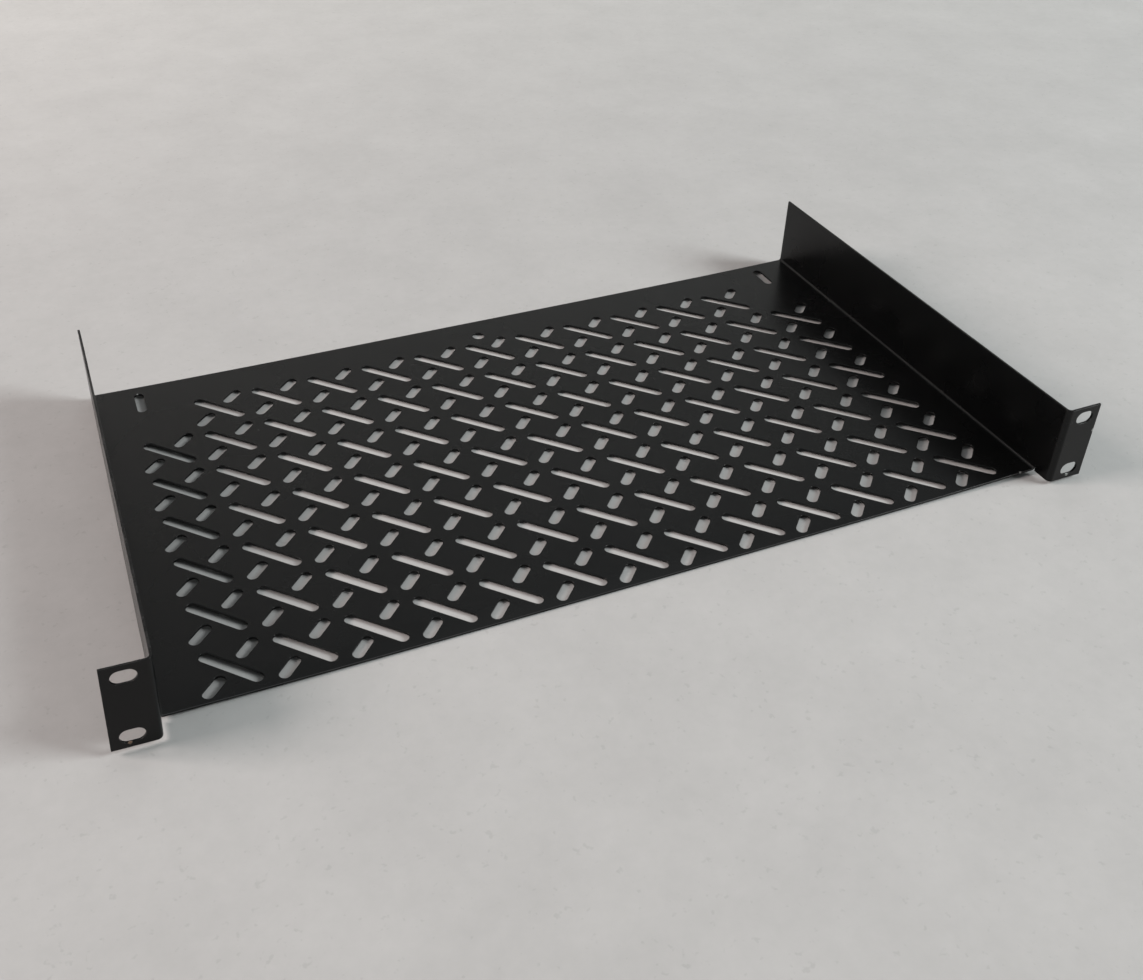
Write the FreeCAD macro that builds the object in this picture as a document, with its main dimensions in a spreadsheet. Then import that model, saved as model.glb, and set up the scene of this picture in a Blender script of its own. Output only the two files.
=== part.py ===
import FreeCAD, Part
import os
import Sketcher

# Vented cantilever shelf for a 19 inch rack, one unit high. It is a single sheet of steel:
# a flat tray pierced with groups of slanted slots, two side flanges folded up from it, and
# an ear folded outwards from the front end of each flange. All lengths are millimetres.
# +X runs across the rack, +Y from its front to its back, +Z up. The origin is under the
# middle of the shelf, on its underside.

dimensions = [
    ("sheet_thickness", 1.2, "steel sheet"),
    ("bend_radius", 1.5, "inside radius of the four folds"),
    ("panel_width", 482.6, "across both ears, the standard 19 inch panel"),
    ("body_width", 445.0, "across the outer faces of the side flanges"),
    ("shelf_height", 44.0, "underside to the top edge of flanges and ears"),
    ("shelf_depth", 253.0, "front face of the ears to the back edge"),
    ("tray_setback", 11.0, "front face of the ears to the tray's front edge"),
    ("relief_width", 0.5, "slit between the tray's fold and the flange in front of it"),
    ("relief_height", 3.0, "top of that slit above the underside"),
    ("rail_spacing", 465.1, "between the slots of the two ears, across the rack"),
    ("rail_pitch", 31.75, "between the two slots of one ear"),
    ("ear_slot_length", 10.0, "end to end, along X"),
    ("ear_slot_width", 7.0, "for M6 rack screws"),
    ("group_pitch", 31.75, "between neighbouring groups of slots, along X and along Y"),
    ("group_columns", 13, "groups across the tray"),
    ("group_rows", 7, "rows of groups, the last one without its two end groups"),
    ("first_row", 27.15, "front face of the ears to the middle of the first row"),
    ("slot_angle", 45.0, "long slots slant forwards to the right by this, in degrees"),
    ("slot_width", 5.4, "every slot of a group"),
    ("long_slot", 31.5, "end to end, through the middle of the group"),
    ("short_slot", 13.0, "end to end, square to the long slot and on both sides of it"),
    ("short_offset", 12.25, "middle of the group to the middle of each short slot"),
    ("rear_inset", 16.0, "back edge to the centres of the three rear holes"),
    ("rear_slot_spacing", 396.0, "between the two rear slots"),
    ("rear_slot_length", 18.0, "end to end, along Y"),
    ("rear_slot_width", 5.0, "rear slots"),
    ("rear_hole_diameter", 7.0, "round hole on the centre line"),
]

# Places that several sketches share, worked out from the sheet.
half_body = "Dims.body_width / 2"
half_inner = "(Dims.body_width / 2 - Dims.sheet_thickness)"
half_panel = "Dims.panel_width / 2"
outer_bend = "(Dims.bend_radius + Dims.sheet_thickness)"
front_face = "(-Dims.shelf_depth / 2)"
tray_front = "(Dims.tray_setback - Dims.shelf_depth / 2)"
rear_line = "(Dims.shelf_depth / 2 - Dims.rear_inset)"
first_column = "(-(Dims.group_columns - 1) / 2 * Dims.group_pitch)"
first_row = "(Dims.first_row - Dims.shelf_depth / 2)"
last_row = "(Dims.first_row - Dims.shelf_depth / 2 + (Dims.group_rows - 1) * Dims.group_pitch)"
slot_cos = "cos(Dims.slot_angle * 1deg)"
slot_sin = "sin(Dims.slot_angle * 1deg)"

document = FreeCAD.newDocument("cantilever_shelf")
sheet = document.addObject("Spreadsheet::Sheet", "Dims")
for row, (alias, value, meaning) in enumerate(dimensions, start=1):
    sheet.set(f"A{row}", alias)
    sheet.set(f"B{row}", str(value))
    sheet.setAlias(f"B{row}", alias)
    sheet.set(f"C{row}", meaning)
document.recompute()

body = document.addObject("PartDesign::Body", "Shelf")
body.Label = "cantilever_shelf"


def origin_feature(role):
    return next(item for item in body.Origin.OriginFeatures if item.Role == role)


def number(expression):
    return float(body.evalExpression(expression))


def new_sketch(name, plane):
    sketch = body.newObject("Sketcher::SketchObject", name)
    sketch.AttachmentSupport = [(origin_feature(plane), "")]
    sketch.MapMode = "FlatFace"
    return sketch


def place(sketch, kind, geometry, point, expression):
    # One coordinate of a point, measured from the sketch's origin. kind is DistanceX or
    # DistanceY, and the points are taken in the order that keeps the distance positive.
    value = number(expression)
    axis = {"DistanceX": -2, "DistanceY": -1}[kind]
    if abs(value) < 1e-9:
        sketch.addConstraint(Sketcher.Constraint("PointOnObject", geometry, point, axis))
        return
    ends = (-1, 1, geometry, point) if value > 0 else (geometry, point, -1, 1)
    index = sketch.addConstraint(Sketcher.Constraint(kind, *ends, abs(value)))
    sketch.setExpression(f"Constraints[{index}]", expression if value > 0 else f"-({expression})")


def set_radius(sketch, geometry, expression):
    index = sketch.addConstraint(Sketcher.Constraint("Radius", geometry, number(expression)))
    sketch.setExpression(f"Constraints[{index}]", expression)


def add_outline(sketch, corners):
    # A closed outline of level and upright lines. Each corner is (x, y, radius), all of them
    # expressions, and the radius is None where the corner is sharp.
    points = [FreeCAD.Vector(number(x), number(y), 0) for x, y, _ in corners]
    radii = [number(radius) if radius else 0.0 for _, _, radius in corners]
    count = len(corners)
    steps = [(points[(i + 1) % count] - points[i]).normalize() for i in range(count)]
    lines = []
    for i in range(count):
        start = points[i] + steps[i] * radii[i]
        end = points[(i + 1) % count] - steps[i] * radii[(i + 1) % count]
        line = sketch.addGeometry(Part.LineSegment(start, end))
        lines.append(line)
        level = abs(steps[i].y) < 1e-9
        sketch.addConstraint(Sketcher.Constraint("Horizontal" if level else "Vertical", line))
        if level:
            place(sketch, "DistanceY", line, 1, corners[i][1])
        else:
            place(sketch, "DistanceX", line, 1, corners[i][0])
    for i, (_, _, radius) in enumerate(corners):
        before, after = lines[i - 1], lines[i]
        if radius is None:
            sketch.addConstraint(Sketcher.Constraint("Coincident", before, 2, after, 1))
            continue
        arrive, leave = steps[i - 1], steps[i]
        centre = points[i] + (leave - arrive) * radii[i]
        middle = centre - (leave - arrive).normalize() * radii[i]
        tangents = (points[i] - arrive * radii[i], middle, points[i] + leave * radii[i])
        arc = sketch.addGeometry(Part.Arc(*tangents))
        left_turn = arrive.cross(leave).z > 0
        first, second = (1, 2) if left_turn else (2, 1)
        sketch.addConstraint(Sketcher.Constraint("Tangent", before, 2, arc, first))
        sketch.addConstraint(Sketcher.Constraint("Tangent", arc, second, after, 1))
        set_radius(sketch, arc, radius)


def add_slot(sketch, x, y, length, width, along):
    # An obround hole centred on (x, y). length and width are expressions, and along is its
    # direction as a pair of expressions.
    reach = f"({length} - {width}) / 2"
    radius = number(width) / 2
    run = FreeCAD.Vector(number(along[0]), number(along[1]), 0)
    side = FreeCAD.Vector(-run.y, run.x, 0)
    arcs = []
    for sign in (1, -1):
        centre_x = f"({x}) + ({sign}) * ({reach}) * ({along[0]})"
        centre_y = f"({y}) + ({sign}) * ({reach}) * ({along[1]})"
        centre = FreeCAD.Vector(number(centre_x), number(centre_y), 0)
        start = centre - side * radius * sign
        end = centre + side * radius * sign
        arc = sketch.addGeometry(Part.Arc(start, centre + run * radius * sign, end))
        place(sketch, "DistanceX", arc, 3, centre_x)
        place(sketch, "DistanceY", arc, 3, centre_y)
        set_radius(sketch, arc, f"{width} / 2")
        arcs.append((arc, start, end))
    for here, there in ((0, 1), (1, 0)):
        line = sketch.addGeometry(Part.LineSegment(arcs[here][2], arcs[there][1]))
        sketch.addConstraint(Sketcher.Constraint("Tangent", arcs[here][0], 2, line, 1))
        sketch.addConstraint(Sketcher.Constraint("Tangent", line, 2, arcs[there][0], 1))


def slot_area(length, width):
    return number(f"({length} - {width}) * {width}") + number(f"pi * pow({width}; 2) / 4")


def check_removed(before, expected, what):
    document.recompute()
    removed = before - body.Shape.Volume
    if abs(removed - expected) > 0.01 * expected:
        raise RuntimeError(f"{what}: removed {removed:.1f} mm3 instead of {expected:.1f}")
    return body.Shape.Volume


# The tray with its two flanges: one channel section, carried from the tray's front edge to
# the back. The section is drawn on the XZ plane, whose normal points to -Y.
section = new_sketch("ChannelSection", "XZ_Plane")
half_flat = f"({half_body} - {outer_bend})"
channel = []
for sign in ("-", ""):
    outer = [(f"{sign}({half_body})", "0", outer_bend), (f"{sign}({half_body})", "Dims.shelf_height", None)]
    inner = [(f"{sign}{half_inner}", "Dims.shelf_height", None),
             (f"{sign}{half_inner}", "Dims.sheet_thickness", "Dims.bend_radius")]
    side = outer + inner
    channel += side if sign == "" else side[::-1]
add_outline(section, channel)
document.recompute()
tray = body.newObject("PartDesign::Pad", "TrayAndFlanges")
tray.Profile = section
tray.SideType = "Two sides"
tray.setExpression("Length", f"-{tray_front}")
tray.setExpression("Length2", "Dims.shelf_depth / 2")
document.recompute()

# The right ear with the stretch of flange in front of the tray, which its fold turns outwards.
ear_plan = new_sketch("EarPlan", "XY_Plane")
add_outline(ear_plan, [
    (half_inner, tray_front, None),
    (half_inner, front_face, outer_bend),
    (half_panel, front_face, None),
    (half_panel, f"{front_face} + Dims.sheet_thickness", None),
    (half_body, f"{front_face} + Dims.sheet_thickness", "Dims.bend_radius"),
    (half_body, tray_front, None),
])
document.recompute()
ear = body.newObject("PartDesign::Pad", "RightEar")
ear.Profile = ear_plan
ear.setExpression("Length", "Dims.shelf_height")
document.recompute()
ears = body.newObject("PartDesign::Mirrored", "BothEars")
ears.Originals = [ear]
ears.MirrorPlane = (origin_feature("YZ_Plane"), [""])
body.Tip = ears
document.recompute()
volume = body.Shape.Volume

# A slit in front of each tray fold parts the fold from the ear's flange. Its outline runs
# past both faces of the flange by the thickness of the sheet.
slits = new_sketch("ReliefSlits", "XY_Plane")
slit_front = f"{tray_front} - Dims.relief_width"
slit_inner = f"{half_inner} - Dims.sheet_thickness"
slit_outer = f"{half_body} + Dims.sheet_thickness"
for sign in ("", "-"):
    add_outline(slits, [
        (f"{sign}({slit_inner})", slit_front, None),
        (f"{sign}({slit_outer})", slit_front, None),
        (f"{sign}({slit_outer})", tray_front, None),
        (f"{sign}({slit_inner})", tray_front, None),
    ])
document.recompute()
relief = body.newObject("PartDesign::Pocket", "FoldReliefs")
relief.Profile = slits
relief.Type = "Length"
relief.setExpression("Length", "Dims.relief_height")
relief.Reversed = True
slit_area = number("Dims.relief_height * Dims.relief_width")
volume = check_removed(volume, 2 * slit_area * number("Dims.sheet_thickness"), "fold reliefs")

# Behind the last row: a slot near each corner and a round hole on the centre line.
rear = new_sketch("RearHoles", "XY_Plane")
for sign in ("", "-"):
    add_slot(rear, f"{sign}Dims.rear_slot_spacing / 2", rear_line,
             "Dims.rear_slot_length", "Dims.rear_slot_width", ("0", "1"))
circle = rear.addGeometry(Part.Circle(FreeCAD.Vector(0, number(rear_line), 0),
                                      FreeCAD.Vector(0, 0, 1), number("Dims.rear_hole_diameter / 2")))
place(rear, "DistanceX", circle, 3, "0")
place(rear, "DistanceY", circle, 3, rear_line)
set_radius(rear, circle, "Dims.rear_hole_diameter / 2")
document.recompute()
rear_cut = body.newObject("PartDesign::Pocket", "RearCut")
rear_cut.Profile = rear
rear_cut.Type = "Length"
rear_cut.setExpression("Length", "Dims.sheet_thickness")
rear_cut.Reversed = True
rear_area = 2 * slot_area("Dims.rear_slot_length", "Dims.rear_slot_width")
rear_area += number("pi * pow(Dims.rear_hole_diameter; 2) / 4")
volume = check_removed(volume, rear_area * number("Dims.sheet_thickness"), "rear holes")

# Two slots in each ear, for the rack's screws. The cut runs forwards from the XZ plane.
ear_slots = new_sketch("EarSlots", "XZ_Plane")
for side in ("", "-"):
    for level in ("+", "-"):
        add_slot(ear_slots, f"{side}Dims.rail_spacing / 2",
                 f"(Dims.shelf_height {level} Dims.rail_pitch) / 2",
                 "Dims.ear_slot_length", "Dims.ear_slot_width", ("1", "0"))
document.recompute()
ear_cut = body.newObject("PartDesign::Pocket", "EarCut")
ear_cut.Profile = ear_slots
ear_cut.Type = "Length"
ear_cut.setExpression("Length", "Dims.shelf_depth / 2")
ear_cut.Reversed = True
ear_area = 4 * slot_area("Dims.ear_slot_length", "Dims.ear_slot_width")
check_removed(volume, ear_area * number("Dims.sheet_thickness"), "ear slots")

# One group of slots: a long one on the slant, and a short one square to it on each side.
along_long = (slot_cos, f"-{slot_sin}")
along_short = (slot_sin, slot_cos)
group_area = slot_area("Dims.long_slot", "Dims.slot_width")
group_area += 2 * slot_area("Dims.short_slot", "Dims.slot_width")


def add_group(sketch, x, y):
    add_slot(sketch, x, y, "Dims.long_slot", "Dims.slot_width", along_long)
    for sign in ("+", "-"):
        middle_x = f"{x} {sign} Dims.short_offset * {along_short[0]}"
        middle_y = f"{y} {sign} Dims.short_offset * {along_short[1]}"
        add_slot(sketch, middle_x, middle_y, "Dims.short_slot", "Dims.slot_width", along_short)


def pierce_rows(name, x, y, columns, rows):
    # Rows of slot groups from the group at (x, y), cut up through the tray. columns and rows
    # are expressions for how many groups there are each way.
    before = body.Shape.Volume
    sketch = new_sketch(f"{name}Group", "XY_Plane")
    add_group(sketch, x, y)
    document.recompute()
    cut = body.newObject("PartDesign::Pocket", f"{name}Cut")
    cut.Profile = sketch
    cut.Type = "Length"
    cut.setExpression("Length", "Dims.sheet_thickness")
    cut.Reversed = True
    document.recompute()
    grid = body.newObject("PartDesign::LinearPattern", name)
    grid.Originals = [cut]
    grid.Direction = (origin_feature("X_Axis"), [""])
    grid.Mode = "Spacing"
    grid.setExpression("Offset", "Dims.group_pitch")
    grid.setExpression("Occurrences", columns)
    grid.Direction2 = (origin_feature("Y_Axis"), [""])
    grid.Mode2 = "Spacing"
    grid.setExpression("Offset2", "Dims.group_pitch")
    grid.Occurrences2 = round(number(rows))
    grid.Spacings2 = [-1.0] * max(1, grid.Occurrences2 - 1)  # -1: every gap is Offset2
    grid.setExpression("Occurrences2", rows)
    grid.Refine = False
    body.Tip = grid
    groups = number(f"({columns}) * ({rows})")
    check_removed(before, groups * group_area * number("Dims.sheet_thickness"), name)


pierce_rows("FullRows", first_column, first_row, "Dims.group_columns", "Dims.group_rows - 1")
pierce_rows("LastRow", f"{first_column} + Dims.group_pitch", last_row, "Dims.group_columns - 2", "1")

for item in document.Objects:
    if "Invalid" in item.State or "Error" in item.State:
        raise RuntimeError(f"{item.Name} did not build: {item.State}")
for item in document.Objects:
    if item.TypeId == "Sketcher::SketchObject" and item.solve() != 0:
        raise RuntimeError(f"{item.Name} does not solve")
shape = body.Shape
if shape.isNull() or not shape.isValid() or len(shape.Solids) != 1:
    raise RuntimeError(f"{body.Label} is not one sound solid")

os.makedirs("parts", exist_ok=True)
shape.exportStep(f"parts/{body.Label}.step")
box = shape.BoundBox
print(f"{body.Label}: {box.XLength:.1f} x {box.YLength:.1f} x {box.ZLength:.1f} mm, "
      f"{shape.Volume:.0f} mm3, {len(shape.Faces)} faces")
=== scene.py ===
import math

import bpy
import numpy as np
from mathutils import Euler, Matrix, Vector
from mathutils.geometry import delaunay_2d_cdt as triangulate


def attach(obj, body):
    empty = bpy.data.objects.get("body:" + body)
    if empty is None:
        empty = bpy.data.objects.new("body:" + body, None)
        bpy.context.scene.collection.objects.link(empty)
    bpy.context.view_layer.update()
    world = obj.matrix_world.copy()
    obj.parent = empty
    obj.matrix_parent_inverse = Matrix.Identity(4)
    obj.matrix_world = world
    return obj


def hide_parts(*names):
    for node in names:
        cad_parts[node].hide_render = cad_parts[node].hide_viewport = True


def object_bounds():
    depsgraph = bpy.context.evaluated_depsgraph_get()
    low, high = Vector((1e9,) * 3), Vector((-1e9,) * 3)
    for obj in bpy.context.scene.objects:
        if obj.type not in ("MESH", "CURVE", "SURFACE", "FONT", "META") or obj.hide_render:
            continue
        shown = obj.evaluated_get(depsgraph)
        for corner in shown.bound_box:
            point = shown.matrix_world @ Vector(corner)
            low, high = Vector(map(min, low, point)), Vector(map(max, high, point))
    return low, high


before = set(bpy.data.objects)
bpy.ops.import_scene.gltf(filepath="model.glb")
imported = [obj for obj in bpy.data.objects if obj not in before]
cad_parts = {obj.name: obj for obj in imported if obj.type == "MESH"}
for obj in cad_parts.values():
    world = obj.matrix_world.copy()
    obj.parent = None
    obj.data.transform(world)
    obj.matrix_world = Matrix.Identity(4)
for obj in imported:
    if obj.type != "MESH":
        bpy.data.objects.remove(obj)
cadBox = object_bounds()  # the solid's own box
low, high = cadBox


cameraSetup = {
    "place": (-0.22385, -0.48487, 0.39602),
    "headingDeg": -22.671,  # negative turns it from +Y towards +X
    "tiltDeg": 57.259,
    "rollDeg": 0.877,
    "lens": 39.277,
    "shiftX": 0.0484,
    "shiftY": -0.1189,
    "clipStart": 0.01,
}


def placeCamera(setup):
    # turned by its heading about Z, its tilt about its own X and its roll about its line of sight
    data = bpy.data.cameras.new("shelfCamera")
    data.lens = setup["lens"]
    data.shift_x = setup["shiftX"]
    data.shift_y = setup["shiftY"]
    data.clip_start = setup["clipStart"]
    camera = bpy.data.objects.new("shelfCamera", data)
    turn = (Euler((0, 0, math.radians(setup["headingDeg"]))).to_matrix()
            @ Euler((math.radians(setup["tiltDeg"]), 0, 0)).to_matrix()
            @ Euler((0, 0, math.radians(setup["rollDeg"]))).to_matrix())
    camera.matrix_world = turn.to_4x4()
    camera.location = setup["place"]
    bpy.context.scene.collection.objects.link(camera)
    bpy.context.scene.camera = camera


placeCamera(cameraSetup)
print("camera placed")


def makeMesh(name, points, faces):
    # a smooth mesh object from an array of points and a list of faces
    mesh = bpy.data.meshes.new(name)
    mesh.from_pydata(points.tolist(), [], faces)
    mesh.shade_smooth()
    mesh.update()
    obj = bpy.data.objects.new(name, mesh)
    bpy.context.scene.collection.objects.link(obj)
    return obj


def gridFaces(rows, columns):
    # quads of a grid of points stored row by row
    index = np.arange(rows * columns).reshape(rows, columns)
    corners = [index[:-1, :-1], index[:-1, 1:], index[1:, 1:], index[1:, :-1]]
    return np.stack(corners, -1).reshape(-1, 4).tolist()


def newGroup(name, inputs, outputs):
    # a shader node group with named sockets; returns the tree and its two end nodes
    tree = bpy.data.node_groups.new(name, "ShaderNodeTree")
    for side, sockets in (("INPUT", inputs), ("OUTPUT", outputs)):
        for label, kind in sockets.items():
            tree.interface.new_socket(label, in_out=side, socket_type="NodeSocket" + kind)
    return tree, tree.nodes.new("NodeGroupInput"), tree.nodes.new("NodeGroupOutput")


def addMath(tree, operation, first, second=None, third=None, clamp=False):
    # one step of arithmetic on sockets or plain numbers
    node = tree.nodes.new("ShaderNodeMath")
    node.operation = operation
    node.use_clamp = clamp
    for socket, value in zip(node.inputs, (first, second, third)):
        if value is None:
            continue
        if isinstance(value, (int, float)):
            socket.default_value = value
        else:
            tree.links.new(value, socket)
    return node.outputs[0]


def addNoise(tree, vector, scale, detail, roughness):
    # the scale is in bumps to the metre, a number or a socket
    node = tree.nodes.new("ShaderNodeTexNoise")
    node.inputs["Detail"].default_value = detail
    node.inputs["Roughness"].default_value = roughness
    tree.links.new(vector, node.inputs["Vector"])
    if isinstance(scale, (int, float)):
        node.inputs["Scale"].default_value = scale
    else:
        tree.links.new(scale, node.inputs["Scale"])
    return node.outputs["Fac"]


def addRamp(tree, value, span, smooth=True):
    # 0 below the span of values and 1 above it, eased or straight between
    node = tree.nodes.new("ShaderNodeMapRange")
    node.interpolation_type = "SMOOTHSTEP" if smooth else "LINEAR"
    node.clamp = True
    node.inputs["From Min"].default_value = span[0]
    node.inputs["From Max"].default_value = span[1]
    tree.links.new(value, node.inputs["Value"])
    return node.outputs["Result"]


def splitAxes(tree, vector):
    node = tree.nodes.new("ShaderNodeSeparateXYZ")
    tree.links.new(vector, node.inputs[0])
    return node.outputs


def facingUp(tree):
    # the Z of the surface's normal: 1 where it faces up, 0 on a wall
    geometry = tree.nodes.new("ShaderNodeNewGeometry")
    return splitAxes(tree, geometry.outputs["Normal"])["Z"]


def placeGroup(material, tree, **values):
    # the group in a material, with an underscore for each space in its sockets' names
    node = material.node_tree.nodes.new("ShaderNodeGroup")
    node.node_tree = tree
    for label, value in values.items():
        socket = node.inputs[label.replace("_", " ")]
        if isinstance(value, bpy.types.NodeSocket):
            material.node_tree.links.new(value, socket)
        else:
            socket.default_value = value
    return node


def mixColour(tree, mask, first, second):
    # the first colour where the mask is 0, the second where it is 1; the mix node's colours are its
    # inputs 6 and 7 and its output 2
    node = tree.nodes.new("ShaderNodeMix")
    node.data_type = "RGBA"
    tree.links.new(mask, node.inputs["Factor"])
    for socket, value in ((node.inputs[6], first), (node.inputs[7], second)):
        if isinstance(value, bpy.types.NodeSocket):
            tree.links.new(value, socket)
        else:
            socket.default_value = value
    return node.outputs[2]


sweepSetup = {
    "width": 9.0,
    "front": -4.5,
    "back": 1.05,  # where the paper leaves the floor
    "radius": 0.7,
    "height": 1.9,
    "gap": 0.0021,  # the sheet's folded sides stand this far above the paper, its middle less
    "floorSteps": 40,
    "arcSteps": 48,
    "wallSteps": 12,
    "crossSteps": 40,
    "roughness": 0.9,
    "specular": 0.1,
    "floorColour": (0.458, 0.457, 0.455, 1),
    "paintedBackLightColour": (0.64, 0.64, 0.63, 1),  # painted light: the floor far behind the shelf is paler, standing in for stronger light at the back
    # painted light: the wall's paler colour stands in for light falling on it
    "paintedWallLightColour": (0.70, 0.70, 0.70, 1),
    "paintedBackLightSpan": (0.1, 1.2),  # of Y, over which the floor's colour turns to the paler painted-light one
    "paintedWallLightSpan": (0.9, 1.7),  # of Z, over which it turns to the wall's paler painted-light colour
    # each noise is scale, detail and roughness
    "clouds": (14, 6.0, 0.68),
    "fibres": (160, 3.0, 0.6),
    "flecks": (300, 2.0, 0.55),
    "fibreShare": 0.35,  # for one part of clouds
    "toneGain": 0.24,
    "toneBase": 0.838,
    "fleckSpan": (0.64, 0.74),
    "fleckDepth": 0.09,
}


def paperSweep(setup):
    # a profile in the Y-Z plane, flat then a quarter circle then upright, carried across X
    arc = np.linspace(0, math.pi / 2, setup["arcSteps"])
    floorY = np.linspace(setup["front"], setup["back"], setup["floorSteps"])[:-1]
    arcY = setup["back"] + setup["radius"] * np.sin(arc)
    arcZ = setup["radius"] * (1 - np.cos(arc))
    wallZ = np.linspace(setup["radius"], setup["height"], setup["wallSteps"])[1:]
    y = np.concatenate([floorY, arcY, np.full_like(wallZ, arcY[-1])])
    z = np.concatenate([np.zeros_like(floorY), arcZ, wallZ]) - setup["gap"]
    x = np.linspace(-setup["width"] / 2, setup["width"] / 2, setup["crossSteps"])
    gridX, gridY = np.meshgrid(x, y)
    gridZ = np.repeat(z[:, None], len(x), 1)
    points = np.stack([gridX, gridY, gridZ], -1).reshape(-1, 3)
    return makeMesh("paper_sweep", points, gridFaces(len(y), len(x)))


def paperMaterial(setup):
    # matt paper: a colour with painted light, paler towards the back and again up the wall where
    # stronger light is wanted, times a tone of clouds and fibres less small dark flecks
    material = bpy.data.materials.new("pale_paper")
    material.use_nodes = True
    tree = material.node_tree
    shader = tree.nodes["Principled BSDF"]
    shader.inputs["Roughness"].default_value = setup["roughness"]
    shader.inputs["Specular IOR Level"].default_value = setup["specular"]
    where = tree.nodes.new("ShaderNodeTexCoord").outputs["Object"]
    axes = splitAxes(tree, where)
    # painted light: the floor pales towards the back and the wall up its height, standing in for
    # stronger light there
    depth = addRamp(tree, axes["Y"], setup["paintedBackLightSpan"])
    paintedWallLight = addRamp(tree, axes["Z"], setup["paintedWallLightSpan"])
    colour = mixColour(tree, depth, setup["floorColour"], setup["paintedBackLightColour"])
    colour = mixColour(tree, paintedWallLight, colour, setup["paintedWallLightColour"])
    clouds = addNoise(tree, where, *setup["clouds"])
    fibres = addNoise(tree, where, *setup["fibres"])
    tone = addMath(tree, "MULTIPLY_ADD", fibres, setup["fibreShare"], clouds)
    tone = addMath(tree, "MULTIPLY_ADD", tone, setup["toneGain"], setup["toneBase"])
    flecks = addRamp(tree, addNoise(tree, where, *setup["flecks"]), setup["fleckSpan"])
    tone = addMath(tree, "MULTIPLY_ADD", flecks, -setup["fleckDepth"], tone)
    shade = tree.nodes.new("ShaderNodeVectorMath")
    shade.operation = "SCALE"
    tree.links.new(colour, shade.inputs[0])
    tree.links.new(tone, shade.inputs["Scale"])
    tree.links.new(shade.outputs[0], shader.inputs["Base Color"])
    return material


sweep = paperSweep(sweepSetup)
sweep.data.materials.append(paperMaterial(sweepSetup))
print("paper sweep laid")


lampSetup = {
    "size": 0.98,
    "distance": 2.6,
    "worldStrength": 0.14,
    "worldSeen": 0.45,  # as the camera and reflections see it
    "worldColour": (0.96, 1.0, 1.0, 1),
    # azimuth from +Y towards +X and elevation, both in degrees, then watts and colour
    "lamps": {
        "rightFront": (120, 34, 59.0, (0.955, 1.0, 0.99)),
        "leftBack": (-78, 34, 54.0, (1.0, 0.88, 0.84)),
        "highRight": (40, 60, 1.2, (0.97, 1.0, 1.0)),
        "overhead": (0, 85, 4.0, (0.97, 1.0, 1.0)),
    },
}


def hangLamp(name, azimuth, elevation, watts, colour, setup):
    # a square lamp on a sphere about the origin, facing the origin
    data = bpy.data.lights.new(name, "AREA")
    data.shape = "SQUARE"
    data.size = setup["size"]
    data.energy = watts
    data.color = colour
    lamp = bpy.data.objects.new(name, data)
    turn, rise = math.radians(azimuth), math.radians(elevation)
    level = math.cos(rise)
    direction = Vector((level * math.sin(turn), level * math.cos(turn), math.sin(rise)))
    lamp.location = direction * setup["distance"]
    lamp.rotation_euler = direction.to_track_quat("Z", "Y").to_euler()
    bpy.context.scene.collection.objects.link(lamp)


for lampName, lampValues in lampSetup["lamps"].items():
    hangLamp(lampName, *lampValues, lampSetup)


def paleWorld(setup):
    # faint for the light that it sheds, pale where it is looked at or mirrored
    world = bpy.data.worlds.new("studio")
    world.use_nodes = True
    tree = world.node_tree
    rays = tree.nodes.new("ShaderNodeLightPath")
    seen = addMath(tree, "MAXIMUM", rays.outputs["Is Camera Ray"], rays.outputs["Is Glossy Ray"])
    extra = setup["worldSeen"] - setup["worldStrength"]
    strength = addMath(tree, "MULTIPLY_ADD", seen, extra, setup["worldStrength"])
    background = tree.nodes["Background"]
    background.inputs["Color"].default_value = setup["worldColour"]
    tree.links.new(strength, background.inputs["Strength"])
    bpy.context.scene.world = world


paleWorld(lampSetup)
bpy.context.scene.view_settings.view_transform = "Standard"
print("lamps hung")


sheetForm = {
    "thickness": 0.0012,
    "insideBend": 0.0015,
    "bodyWidth": 0.445,  # over the outside of the two flanges
    "traySetback": 0.011,  # the tray starts this far behind the ears' front face
    "reliefWidth": 0.0005,  # slit between the fold of the tray and the flange in front of it
    "reliefHeight": 0.003,
    "rim": 0.00018,  # rounding of every cut edge under the coat
    "rimSteps": 3,
    "cornerRadius": 0.00022,
    "cornerSteps": 4,
    "bendSteps": 10,
    "sag": 0.0012,
    "droop": 0.0007,  # the front edge hangs this much lower still
    "droopLength": 0.012,  # and the tray drops to it over this length
    "leftLean": math.radians(2.4),  # of the left flange at its front, upper edge inwards
    "leanFrom": 0.203,  # the tray gives way from here outwards
    "leftEarLonger": 0.0004,
    "earRun": 0.01,  # the ear grows longer over this part of it
    "edgeSpacing": 0.006,
    "flatSpacing": 0.011,
    "trayBendShare": 2,  # points along a fold for each flat spacing
    "earBendShare": 3,
    "rimClearance": 3,  # loose points keep this many rims away from a cut
    "slotReach": 0.02,  # no point of a slot or hole is further than this from its middle
    "vents": {
        "pitch": 0.03175,
        "columns": 13,
        "rows": 7,
        "firstRow": 0.02715,  # behind the ears' front face
        "longSlot": 0.0315,
        "shortSlot": 0.013,
        "shortOffset": 0.01225,
        "slotWidth": 0.0054,
        "angle": math.radians(-45),
        "endSteps": 12,
    },
    "otherHoles": {
        "rearInset": 0.016,
        "rearSpacing": 0.396,
        "rearLength": 0.018,
        "rearWidth": 0.005,
        "rearHole": 0.007,
        "railSpacing": 0.4651,
        "railPitch": 0.03175,
        "earLength": 0.010,
        "earWidth": 0.007,
    },
}
tiny = 1e-6  # a share of a run, or a difference between normals, that counts as none
tinyLength = 1e-9


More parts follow.
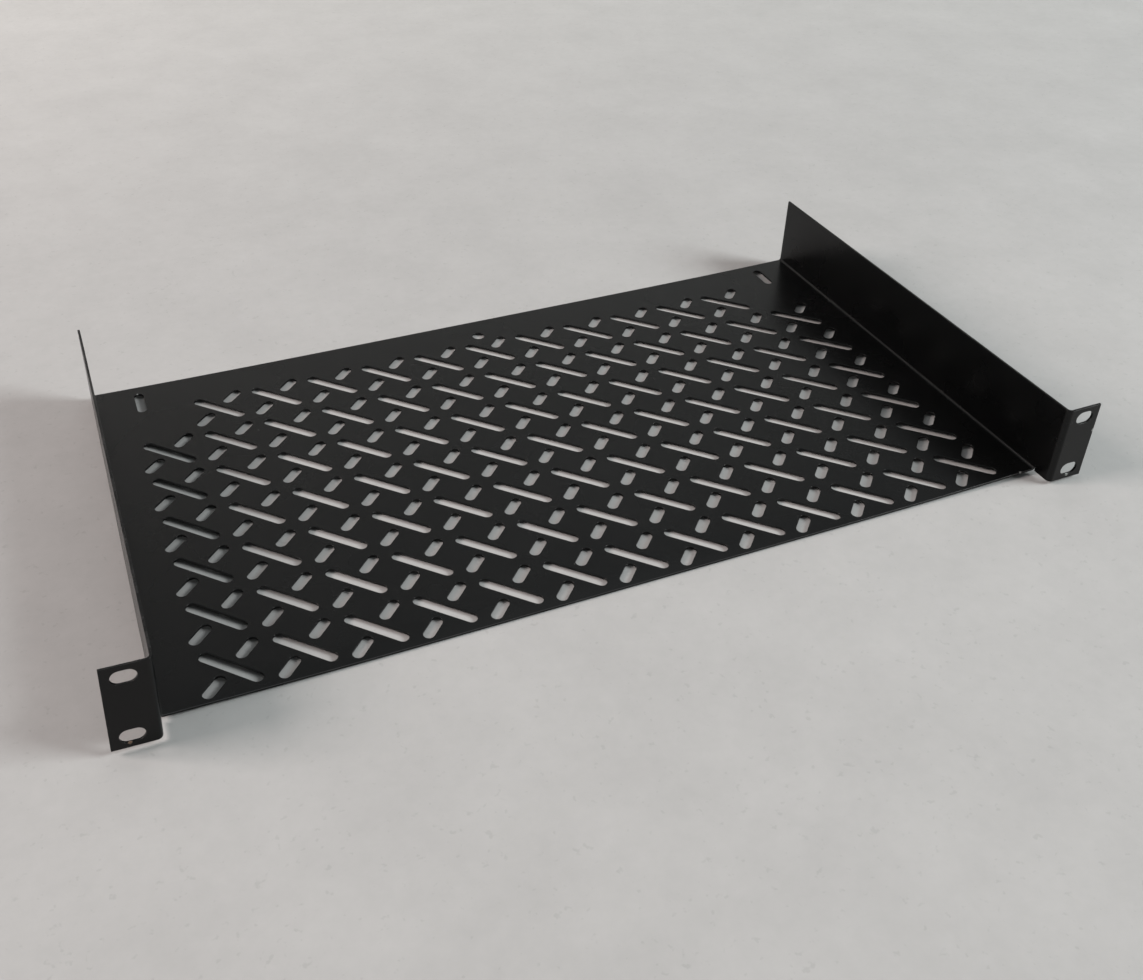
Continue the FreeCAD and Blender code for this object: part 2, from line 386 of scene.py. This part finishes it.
def bendLayout(form):
    # the fold lines and lengths of the flat blank, worked out from the form and the solid's box
    outer = form["insideBend"] + form["thickness"]
    return {
        "outer": outer,
        "foldX": form["bodyWidth"] / 2 - outer,
        "bendLength": math.pi / 2 * (form["insideBend"] + form["thickness"] / 2),
        "earCentreX": form["bodyWidth"] / 2 + form["insideBend"],
        "earCentreY": low.y + outer,
        "trayFront": low.y + form["traySetback"],
    }


layout = bendLayout(sheetForm)


def flangeU(z):
    # blank distance from the middle line of a point at height z on the right flange
    return layout["foldX"] + layout["bendLength"] + z - layout["outer"]


def earV(x):
    # blank position along the depth of a point at x on the right ear
    return layout["earCentreY"] - layout["bendLength"] - (x - layout["earCentreX"])


def roundCorners(corners, radius, steps):
    # a closed path of straight runs with a small arc at each corner; returns points and the normals
    # to their left
    corners = np.asarray(corners, float)
    before = corners - np.roll(corners, 1, 0)
    after = np.roll(corners, -1, 0) - corners
    before /= np.linalg.norm(before, axis=1)[:, None]
    after /= np.linalg.norm(after, axis=1)[:, None]
    cross = before[:, 0] * after[:, 1] - before[:, 1] * after[:, 0]
    turn = np.arctan2(cross, (before * after).sum(1))
    inset = radius * np.tan(np.abs(turn) / 2)
    startNormal = np.stack([-before[:, 1], before[:, 0]], 1)
    side = np.sign(turn)[:, None]
    centre = corners - before * inset[:, None] + startNormal * radius * side
    share = np.linspace(0, 1, steps + 1)
    angle = turn[:, None] * share
    cosine, sine = np.cos(angle), np.sin(angle)
    normalX = startNormal[:, None, 0] * cosine - startNormal[:, None, 1] * sine
    normalY = startNormal[:, None, 0] * sine + startNormal[:, None, 1] * cosine
    normal = np.stack([normalX, normalY], -1)
    points = centre[:, None, :] - normal * radius * side[:, :, None]
    return points.reshape(-1, 2), normal.reshape(-1, 2)


def splitRuns(points, normals, spacing, bends):
    # adds points along straight runs longer than the spacing, and one wherever a run crosses a line
    # of the bends
    outPoints, outNormals = [], []
    nextPoints, nextNormals = np.roll(points, -1, 0), np.roll(normals, -1, 0)
    for here, there, normal, nextNormal in zip(points, nextPoints, normals, nextNormals):
        run = there - here
        length = np.hypot(*run)
        shares = [0.0]
        if np.allclose(normal, nextNormal, atol=tiny):
            shares += list(np.linspace(0, 1, int(math.ceil(length / spacing)) + 1)[1:-1])
            for axis, values in enumerate(bends):
                if abs(run[axis]) > tinyLength:
                    crossing = (values - here[axis]) / run[axis]
                    shares += list(crossing[(crossing > tiny) & (crossing < 1 - tiny)])
        shares = np.unique(np.round(shares, 9))  # one point where two fall together
        outPoints.append(here + shares[:, None] * run)
        outNormals.append(np.repeat(normal[None], len(shares), 0))
    return np.concatenate(outPoints), np.concatenate(outNormals)


def blankOutline(form, bends):
    # the flat blank walked with its metal on the left: right half, then the same points mirrored
    trayFront = layout["trayFront"]
    neckU, topU = flangeU(low.z), flangeU(high.z)
    reliefU = flangeU(form["reliefHeight"])
    earEnd = earV(high.x)
    slitFront = trayFront - form["reliefWidth"]
    right = [
        (reliefU, trayFront),
        (reliefU, slitFront),
        (neckU, slitFront),
        (neckU, earEnd),
        (topU, earEnd),
        (topU, high.y),
    ]
    left = [(-u, v) for u, v in reversed(right)]
    points, normals = roundCorners(right + left, form["cornerRadius"], form["cornerSteps"])
    return splitRuns(points, normals, form["edgeSpacing"], bends)


def slotLoops(centres, angle, length, width, endSteps):
    # a straight slot with round ends, one for each centre, walked clockwise so that the metal is on
    # the left
    half = (length - width) / 2
    around = np.linspace(math.pi / 2, -math.pi / 2, endSteps + 1)
    first = np.stack([half + width / 2 * np.cos(around), width / 2 * np.sin(around)], 1)
    shape = np.concatenate([first, -first])
    normal = np.concatenate([np.stack([np.cos(around), np.sin(around)], 1)] * 2)
    normal[endSteps + 1:] *= -1
    if half < tinyLength:  # a round hole has no straight sides
        keep = np.r_[0:endSteps, endSteps + 1:2 * endSteps + 1]
        shape, normal = shape[keep], normal[keep]
    turn = np.array([[math.cos(angle), math.sin(angle)], [-math.sin(angle), math.cos(angle)]])
    shape, normal = shape @ turn, normal @ turn
    centres = np.asarray(centres, float)
    return [(shape + centre, normal) for centre in centres]


def ventCentres(form):
    # the middles of the slot groups; the last row has no group at its two ends
    columns = (np.arange(form["columns"]) - (form["columns"] - 1) / 2) * form["pitch"]
    rows = low.y + form["firstRow"] + np.arange(form["rows"]) * form["pitch"]
    x, y = np.meshgrid(columns, rows)
    keep = np.ones(x.shape, bool)
    keep[-1, [0, -1]] = False
    return np.stack([x[keep], y[keep]], 1)


def holeLoops(vents, others):
    # every cut inside the outline, in blank coordinates
    steps = vents["endSteps"]
    centres = ventCentres(vents)
    across = vents["angle"] + math.pi / 2
    aside = vents["shortOffset"] * np.array([math.cos(across), math.sin(across)])
    width = vents["slotWidth"]
    loops = slotLoops(centres, vents["angle"], vents["longSlot"], width, steps)
    for sign in (-1, 1):
        loops += slotLoops(centres + sign * aside, across, vents["shortSlot"], width, steps)
    rearY = high.y - others["rearInset"]
    rear = [(sign * others["rearSpacing"] / 2, rearY) for sign in (-1, 1)]
    loops += slotLoops(rear, math.pi / 2, others["rearLength"], others["rearWidth"], steps)
    loops += slotLoops([(0, rearY)], 0, others["rearHole"], others["rearHole"], steps * 2)
    slotV = earV(others["railSpacing"] / 2)
    middle = (low.z + high.z) / 2
    slotU = [flangeU(middle + step * others["railPitch"] / 2) for step in (-1, 1)]
    ears = [(side * u, slotV) for side in (-1, 1) for u in slotU]
    loops += slotLoops(ears, math.pi / 2, others["earLength"], others["earWidth"], steps)
    return loops


def distanceToLoop(points, loop):
    # distance of many points from a closed path, and whether they are inside it
    start, end = loop, np.roll(loop, -1, 0)
    run = end - start
    offset = points[:, None] - start[None]
    share = np.clip((offset * run).sum(-1) / (run * run).sum(-1), 0, 1)
    gap = np.linalg.norm(offset - share[..., None] * run, axis=-1).min(1)
    crosses = (start[:, 1] > points[:, None, 1]) != (end[:, 1] > points[:, None, 1])
    rise = np.where(run[:, 1] == 0, 1, run[:, 1])
    atX = start[:, 0] + (points[:, None, 1] - start[:, 1]) * run[:, 0] / rise
    inside = (crosses & (points[:, None, 0] < atX)).sum(1) % 2 == 1
    return gap, inside


def freePoints(form, paths, bendsU, bendsV):
    # loose points on the flats and rows of close points along the bends, kept clear of every cut;
    # the first path is the outline
    topU, earEnd = flangeU(high.z), earV(high.x)
    flat, length = form["flatSpacing"], layout["bendLength"]
    steps = math.floor(topU / flat)
    gridU = np.arange(-steps, steps + 1) * flat
    gridV = np.arange(earEnd, high.y, flat)
    along = np.arange(layout["trayFront"], high.y, flat / form["trayBendShare"])
    upward = np.arange(0, topU, flat / form["earBendShare"])
    offBend = np.abs(np.abs(gridU) - layout["foldX"] - length / 2) > length
    offEar = np.abs(gridV - bendsV.mean()) > length
    bothSides = np.concatenate([-upward, upward])
    crossings = [(gridU[offBend], gridV[offEar]), (bendsU, along), (bothSides, bendsV)]
    grids = [np.stack(np.meshgrid(*lines), -1).reshape(-1, 2) for lines in crossings]
    points = np.concatenate(grids)
    clearance = form["rimClearance"] * form["rim"]
    gap, inside = distanceToLoop(points, paths[0])
    points = points[inside & (gap > clearance)]
    clear = np.ones(len(points), bool)
    for path in paths[1:]:
        near = np.abs(points - path.mean(0)).max(1) < form["slotReach"]
        gap, inside = distanceToLoop(points[near], path)
        clear[np.flatnonzero(near)[inside | (gap < clearance)]] = False
    return points[clear]


def leanLeft(side, x, z, nx, nz, v, reach):
    # the left flange and its ear turned by lean = leftLean * sqrt(share of the way to the front)
    # about the flange's middle height; x is counted outwards, and the tray's margin stretches to
    # follow
    share = np.clip((high.y - v) / (high.y - layout["trayFront"]), 0, 1)
    follow = np.clip(1 + reach / (layout["foldX"] - sheetForm["leanFrom"]), 0, 1)
    lean = np.where(side < 0, sheetForm["leftLean"] * np.sqrt(share) * follow, 0)
    middle = (low.z + high.z) / 2
    wall = sheetForm["bodyWidth"] / 2
    onEar = np.clip((x - layout["earCentreX"]) / sheetForm["earRun"], 0, 1) * (side < 0)
    newX = x + lean * (middle - z) + sheetForm["leftEarLonger"] * onEar
    newZ = z + lean * (np.maximum(x, layout["foldX"]) - wall)
    return newX, newZ, nx - lean * nz, nz + lean * nx


def foldBlank(u, v, w, normal):
    # the blank turned about four lines: each flange up about a line beside the tray, each ear out
    # about a line at the flange's front; w goes from the underside (0) to the inner face (the
    # thickness); sag and droop fall away as the fourth power of the distance from the tray's middle
    # line, and the droop grows as the square of the way over its length to the front edge
    side = np.where(u < 0, -1.0, 1.0)
    reach = np.abs(u) - layout["foldX"]
    length, outer = layout["bendLength"], layout["outer"]
    neck = v < layout["trayFront"] - sheetForm["reliefWidth"] / 2
    angle = np.clip(reach / length, 0, 1) * math.pi / 2
    angle = np.where(neck & (reach > 0), math.pi / 2, angle)
    cosine, sine = np.cos(angle), np.sin(angle)
    straight = np.where(neck, reach - length, np.maximum(reach - length, 0))
    onTray = reach <= 0
    x = np.where(onTray, np.abs(u), layout["foldX"] + (outer - w) * sine)
    z = np.where(onTray, w, outer - (outer - w) * cosine + straight)
    outward = normal[:, 0] * side
    nx = outward * cosine - normal[:, 2] * sine
    nz = outward * sine + normal[:, 2] * cosine
    across = np.clip(np.abs(u) / layout["foldX"], 0, 1)
    front = np.clip(1 - (v - layout["trayFront"]) / sheetForm["droopLength"], 0, 1) * onTray
    drop = sheetForm["sag"] + sheetForm["droop"] * front ** 2
    z = z - drop * (1 - across ** 4)
    slopeX = 4 * drop / layout["foldX"] * across ** 3
    slopeY = 2 * sheetForm["droop"] / sheetForm["droopLength"] * front * (1 - across ** 4)
    nx = nx - slopeX * np.where(onTray, nz, 0)
    ny = normal[:, 1] - slopeY * nz
    past = layout["earCentreY"] - v
    onEar = past > 0
    turn = np.clip(past / length, 0, 1) * math.pi / 2
    cosine, sine = np.cos(turn), np.sin(turn)
    swing = sheetForm["insideBend"] + w
    beyond = np.maximum(past - length, 0)
    x = np.where(onEar, layout["earCentreX"] - swing * cosine + beyond, x)
    y = np.where(onEar, layout["earCentreY"] - swing * sine, v)
    nx = np.where(onEar, -cosine * normal[:, 2] - sine * normal[:, 1], nx)
    ny = np.where(onEar, -sine * normal[:, 2] + cosine * normal[:, 1], ny)
    x, z, nx, nz = leanLeft(side, x, z, nx, nz, v, reach)
    return np.stack([x * side, y, z], 1), np.stack([nx * side, ny, nz], 1)


def triangulateBlank(flatUV, edges):
    # triangles between the cuts, worked in millimetres; mode 2 keeps the inside of the outline and
    # leaves out the holes that it finds
    millimetres, insideMode, tolerance = 1000, 2, 1e-6
    points = [Vector(point) for point in (flatUV * millimetres).tolist()]
    found = triangulate(points, edges, [], insideMode, tolerance)
    original = [ids[0] if ids else -1 for ids in found[3]]
    triangles = np.array([[original[i] for i in face] for face in found[2]])
    if (triangles < 0).any():
        raise ValueError("the blank's cuts cross one another")
    return triangles


def foldedSheet(form):
    # rings of points follow every cut edge from the underside round to the top face, and one
    # triangulation between the rings serves both faces; the whole flat blank is then folded
    thickness, rim = form["thickness"], form["rim"]
    steps = np.arange(form["bendSteps"] + 1) / form["bendSteps"] * layout["bendLength"]
    bendsU = np.concatenate([-(layout["foldX"] + steps), layout["foldX"] + steps])
    bendsV = layout["earCentreY"] - steps
    loops = [blankOutline(form, (bendsU, bendsV))] + holeLoops(form["vents"], form["otherHoles"])
    paths, inwards = zip(*loops)
    edge, inward = np.concatenate(paths), np.concatenate(inwards)
    free = freePoints(form, paths, bendsU, bendsV)
    count, loose = len(edge), len(free)
    here, apart = np.arange(count), np.arange(loose)
    sizes = np.array([len(path) for path in paths])
    starts = np.concatenate([[0], np.cumsum(sizes)[:-1]])
    following = here + 1
    following[starts + sizes - 1] = starts
    quarter = np.linspace(0, math.pi / 2, form["rimSteps"] + 1)
    around = np.concatenate([quarter, quarter[::-1]])
    inset = rim * (1 - np.sin(around))
    drop = rim * (1 - np.cos(quarter))
    height = np.concatenate([drop, thickness - drop[::-1]])
    outwardShare = np.sin(around)
    upShare = np.concatenate([-np.cos(quarter), np.cos(quarter[::-1])])
    rings = len(inset)
    ringUV = edge[None] + inward[None] * inset[:, None, None]
    flatNormal = -inward[None] * outwardShare[:, None, None]
    upNormal = np.broadcast_to(upShare[:, None, None], (rings, count, 1))
    ringNormal = np.concatenate([flatNormal, upNormal], -1)
    edges = list(zip(here.tolist(), following.tolist()))
    triangles = triangulateBlank(np.concatenate([ringUV[0], free]), edges)
    owner = np.concatenate([np.repeat(np.arange(len(sizes)), sizes), np.full(loose, -1)])
    corners = owner[triangles]
    # every cut is convex, so a triangle with all its corners on one cut spans it
    overHole = (corners[:, 0] > 0) & (corners == corners[:, :1]).all(1)
    triangles = triangles[~overHole]
    u = np.concatenate([ringUV[..., 0].ravel(), free[:, 0], free[:, 0]])
    v = np.concatenate([ringUV[..., 1].ravel(), free[:, 1], free[:, 1]])
    w = np.concatenate([np.repeat(height, count), np.zeros(loose), np.full(loose, thickness)])
    down = np.tile([0, 0, -1.0], (loose, 1))
    normal = np.concatenate([ringNormal.reshape(-1, 3), down, -down])
    rimShare = np.concatenate([np.repeat(outwardShare, count), np.zeros(2 * loose)])
    under = np.concatenate([here, rings * count + apart])
    over = np.concatenate([(rings - 1) * count + here, rings * count + loose + apart])
    ringStart = np.arange(rings - 1)[:, None] * count
    lower, lowerNext = ringStart + here, ringStart + following
    walls = np.stack([lower, lowerNext, lowerNext + count, lower + count], -1).reshape(-1, 4)
    points, normals = foldBlank(u, v, w, normal)
    faces = over[triangles].tolist() + under[triangles[:, ::-1]].tolist() + walls.tolist()
    sheet = makeMesh("folded_sheet", points, faces)
    sheet.data.normals_split_custom_set_from_vertices(normals.tolist())
    mark = sheet.data.attributes.new("rimShare", "FLOAT", "POINT")
    mark.data.foreach_set("value", rimShare.astype(np.float32))
    sheet.data.update()
    return sheet


sheet = foldedSheet(sheetForm)
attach(sheet, "root")
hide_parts("cantilever_shelf")
print("sheet folded,", len(sheet.data.polygons), "faces")


coatSetup = {
    "black": (0.0007, 0.0008, 0.0009, 1),
    "worn": (0.0040, 0.0041, 0.0043, 1),
    "edgeWorn": (0.020, 0.020, 0.020, 1),
    # painted highlight: this paler colour on the front arris stands in for light reflected from
    # above
    "paintedHighlight": (0.055, 0.056, 0.058, 1),
    "primer": (0.30, 0.31, 0.30, 1),
    "rust": (0.16, 0.105, 0.075, 1),
    "dusty": (0.15, 0.15, 0.145, 1),
    "specular": 0.24,
    "roughness": 0.27,
    "peelDepth": 0.000016,
    "chipDepth": 4.0,  # in heights of the peel
    "mottleSpan": (0.3, 0.7),
    "mottleShare": 0.25,  # the most of the worn black that the mottle mixes in
    # added to the roughness where each mask is 1
    "mottleRough": 0.05,
    "wearRough": -0.05,
    "dustRough": 0.5,
    "bareRough": 0.25,
    "bareMetal": 0.35,  # how metallic a bare place is
    # each noise is scale, detail and roughness, with the scale in bumps to the metre
    "grain": {
        "peelScale": 950,
        "peelNoise": (1.5, 0.45),
        "peelShare": 0.62,
        "fineScale": 3600,
        "fineNoise": (1.0, 0.5),
        "fineShare": 0.28,
        "waves": (90, 2.0, 0.5),
        "waveShare": 0.10,
        "mottle": (14, 4.0, 0.55),
    },
    "wear": {
        "amount": 0.8,
        "stretches": (55, 3.0, 0.6),
        "fine": (900, 2.0, 0.6),
        "fineShare": 0.35,
        "span": (0.62, 0.86),
        "power": 1.5,
    },
    "dust": {
        "specks": 0.55,
        "film": 0.10,
        "cellScale": 70,
        "cellSpan": (0.55, 1.0),
        "speckSize": 0.022,
        "patches": (9, 5.0, 0.6),
        "patchSpan": (0.45, 0.75),
        "flecks": (2600, 2.0, 0.7),
        "fleckSpan": (0.5, 0.75),
        "upSpan": (0.6, 0.95),
    },
    # where the painted highlight lies along the front arris
    "paintedArrisHighlight": {"reach": 0.0006, "below": 0.0035, "gain": 2.0},
    "chipEdge": {"ragged": (1500, 3.0, 0.7), "depth": 1.5, "span": (0.78, 1.0)},
    # small places where the coat is knocked off, and whether the bare metal has browned
    "chips": {
        "earEdge": {"middle": (high.x, low.y, 0.0282), "radius": 0.0011, "brown": 0},
        "earSlotRight": {"middle": (0.2325, low.y, 0.0022), "radius": 0.0010, "brown": 0},
        "earSlotLeft": {"middle": (-0.2350, low.y, 0.0031), "radius": 0.0009, "brown": 1},
        "frontEdge": {"middle": (0.2128, layout["trayFront"], 0.001), "radius": 0.0008, "brown": 0},
        "rearSlot": {"middle": (-0.1985, 0.1195, 0.0008), "radius": 0.0005, "brown": 0},
        "trayMiddle": {"middle": (-0.0656, 0.0326, 0.0000), "radius": 0.0005, "brown": 0},
        "leftBend": {"middle": (-0.2215, -0.1101, 0.0022), "radius": 0.0005, "brown": 0},
    },
}


def coatGrainGroup(setup):
    # height = the rounded peel, a fine grain and long low waves, each times its share; the mottle
    # is a broad noise
    inputs = {"Vector": "Vector", "Peel Scale": "Float", "Grain Scale": "Float"}
    tree, start, end = newGroup("coatGrain", inputs, {"Height": "Float", "Mottle": "Float"})
    vector = start.outputs["Vector"]
    peel = addNoise(tree, vector, start.outputs["Peel Scale"], *setup["peelNoise"])
    fine = addNoise(tree, vector, start.outputs["Grain Scale"], *setup["fineNoise"])
    waves = addNoise(tree, vector, *setup["waves"])
    height = addMath(tree, "MULTIPLY", fine, setup["fineShare"])
    height = addMath(tree, "MULTIPLY_ADD", peel, setup["peelShare"], height)
    height = addMath(tree, "MULTIPLY_ADD", waves, setup["waveShare"], height)
    tree.links.new(height, end.inputs["Height"])
    tree.links.new(addNoise(tree, vector, *setup["mottle"]), end.inputs["Mottle"])
    return tree


def edgeWearGroup(setup):
    # the mask follows the rounded rims of every cut edge, broken into stretches by noise
    inputs = {"Vector": "Vector", "Rim": "Float", "Amount": "Float"}
    tree, start, end = newGroup("edgeWear", inputs, {"Mask": "Float"})
    vector = start.outputs["Vector"]
    stretches = addNoise(tree, vector, *setup["stretches"])
    fine = addNoise(tree, vector, *setup["fine"])
    broken = addMath(tree, "MULTIPLY_ADD", fine, setup["fineShare"], stretches)
    rounded = addMath(tree, "POWER", start.outputs["Rim"], setup["power"])
    mask = addMath(tree, "MULTIPLY", addRamp(tree, broken, setup["span"]), rounded)
    mask = addMath(tree, "MULTIPLY", mask, start.outputs["Amount"], clamp=True)
    tree.links.new(mask, end.inputs["Mask"])
    return tree


def coatChipGroup(setup):
    # the mask is where the distance from the middle, roughened by noise, is less than the radius
    inputs = {"Vector": "Vector", "Middle": "Vector", "Radius": "Float"}
    tree, start, end = newGroup("coatChip", inputs, {"Mask": "Float"})
    vector = start.outputs["Vector"]
    distance = tree.nodes.new("ShaderNodeVectorMath")
    distance.operation = "DISTANCE"
    tree.links.new(vector, distance.inputs[0])
    tree.links.new(start.outputs["Middle"], distance.inputs[1])
    ragged = addMath(tree, "SUBTRACT", addNoise(tree, vector, *setup["ragged"]), 0.5)
    reach = addMath(tree, "DIVIDE", distance.outputs["Value"], start.outputs["Radius"])
    reach = addMath(tree, "MULTIPLY_ADD", ragged, setup["depth"], reach)
    mask = addMath(tree, "SUBTRACT", 1.0, addRamp(tree, reach, setup["span"]))
    tree.links.new(mask, end.inputs["Mask"])
    return tree


def dustGroup(setup):
    # a few small specks lie on faces that look up, and a thin film gathers in broad patches
    inputs = {"Vector": "Vector", "Specks": "Float", "Film": "Float"}
    tree, start, end = newGroup("dust", inputs, {"Mask": "Float"})
    vector = start.outputs["Vector"]
    cells = tree.nodes.new("ShaderNodeTexVoronoi")
    cells.inputs["Scale"].default_value = setup["cellScale"]
    tree.links.new(vector, cells.inputs["Vector"])
    parts = tree.nodes.new("ShaderNodeSeparateColor")
    tree.links.new(cells.outputs["Color"], parts.inputs["Color"])
    size = addRamp(tree, parts.outputs["Red"], setup["cellSpan"], False)
    size = addMath(tree, "MULTIPLY", size, setup["speckSize"])
    speck = addMath(tree, "LESS_THAN", cells.outputs["Distance"], size)
    speck = addMath(tree, "MULTIPLY", speck, start.outputs["Specks"])
    patches = addRamp(tree, addNoise(tree, vector, *setup["patches"]), setup["patchSpan"])
    flecks = addRamp(tree, addNoise(tree, vector, *setup["flecks"]), setup["fleckSpan"])
    film = addMath(tree, "MULTIPLY", patches, flecks)
    film = addMath(tree, "MULTIPLY", film, start.outputs["Film"])
    upward = addRamp(tree, facingUp(tree), setup["upSpan"])
    mask = addMath(tree, "MULTIPLY", addMath(tree, "MAXIMUM", speck, film), upward, clamp=True)
    tree.links.new(mask, end.inputs["Mask"])
    return tree


def paintedArrisHighlight(tree, where, rim, setup):
    # a painted highlight along the upper arris of the tray's front edge, standing in for a
    # reflection of light from above: near that edge in depth, low down, and as much as the rim
    # turns both up and outwards
    axes = splitAxes(tree, where)
    away = addMath(tree, "SUBTRACT", axes["Y"], layout["trayFront"])
    near = addMath(tree, "LESS_THAN", addMath(tree, "ABSOLUTE", away), setup["reach"])
    near = addMath(tree, "MULTIPLY", near, addMath(tree, "LESS_THAN", axes["Z"], setup["below"]))
    turned = addMath(tree, "MULTIPLY", addMath(tree, "MAXIMUM", facingUp(tree), 0.0), rim)
    turned = addMath(tree, "MULTIPLY", turned, setup["gain"], clamp=True)
    return addMath(tree, "MULTIPLY", turned, near)


def chipMasks(material, where, setup):
    # the greatest of all the chips' masks, and of the browned ones'
    tree = material.node_tree
    chipTree = coatChipGroup(setup["chipEdge"])
    bare, brown = None, None
    for chip in setup["chips"].values():
        mask = placeGroup(material, chipTree, Vector=where, Middle=chip["middle"],
                          Radius=chip["radius"]).outputs["Mask"]
        bare = mask if bare is None else addMath(tree, "MAXIMUM", bare, mask)
        if chip["brown"]:
            brown = mask if brown is None else addMath(tree, "MAXIMUM", brown, mask)
    return bare, brown


def powderCoat(setup):
    # a near-black coat, mottled, then worn, dusty, lightened by a painted highlight on the front
    # arris and bare in turn, each under its own mask; the grain is its bump, and the chips are cut
    # into it
    material = bpy.data.materials.new("black_powder_coat")
    material.use_nodes = True
    tree = material.node_tree
    shader = tree.nodes["Principled BSDF"]
    shader.inputs["Specular IOR Level"].default_value = setup["specular"]
    where = tree.nodes.new("ShaderNodeTexCoord").outputs["Object"]
    attribute = tree.nodes.new("ShaderNodeAttribute")
    attribute.attribute_name = "rimShare"
    rim = attribute.outputs["Fac"]
    grain = placeGroup(material, coatGrainGroup(setup["grain"]), Vector=where,
                       Peel_Scale=setup["grain"]["peelScale"],
                       Grain_Scale=setup["grain"]["fineScale"])
    wear = placeGroup(material, edgeWearGroup(setup["wear"]), Vector=where, Rim=rim,
                      Amount=setup["wear"]["amount"]).outputs["Mask"]
    dust = placeGroup(material, dustGroup(setup["dust"]), Vector=where,
                      Specks=setup["dust"]["specks"], Film=setup["dust"]["film"]).outputs["Mask"]
    bare, brown = chipMasks(material, where, setup)
    # a painted highlight on the upper front arris, standing in for a reflection of light from above
    paintedHighlight = paintedArrisHighlight(tree, where, rim, setup["paintedArrisHighlight"])
    mottle = addRamp(tree, grain.outputs["Mottle"], setup["mottleSpan"])
    share = addMath(tree, "MULTIPLY", mottle, setup["mottleShare"])
    colour = mixColour(tree, share, setup["black"], setup["worn"])
    colour = mixColour(tree, wear, colour, setup["edgeWorn"])
    colour = mixColour(tree, dust, colour, setup["dusty"])
    # mixes in the painted highlight colour
    colour = mixColour(tree, paintedHighlight, colour, setup["paintedHighlight"])
    metal = mixColour(tree, brown, setup["primer"], setup["rust"])
    tree.links.new(mixColour(tree, bare, colour, metal), shader.inputs["Base Color"])
    least = setup["roughness"] - setup["mottleRough"] / 2
    rough = addMath(tree, "MULTIPLY_ADD", mottle, setup["mottleRough"], least)
    rough = addMath(tree, "MULTIPLY_ADD", wear, setup["wearRough"], rough)
    rough = addMath(tree, "MULTIPLY_ADD", dust, setup["dustRough"], rough)
    rough = addMath(tree, "MULTIPLY_ADD", bare, setup["bareRough"], rough, clamp=True)
    tree.links.new(rough, shader.inputs["Roughness"])
    tree.links.new(addMath(tree, "MULTIPLY", bare, setup["bareMetal"]), shader.inputs["Metallic"])
    height = addMath(tree, "MULTIPLY_ADD", bare, -setup["chipDepth"], grain.outputs["Height"])
    bump = tree.nodes.new("ShaderNodeBump")
    bump.inputs["Distance"].default_value = setup["peelDepth"]
    tree.links.new(height, bump.inputs["Height"])
    tree.links.new(bump.outputs["Normal"], shader.inputs["Normal"])
    return material


sheet.data.materials.append(powderCoat(coatSetup))
print("powder coat on")
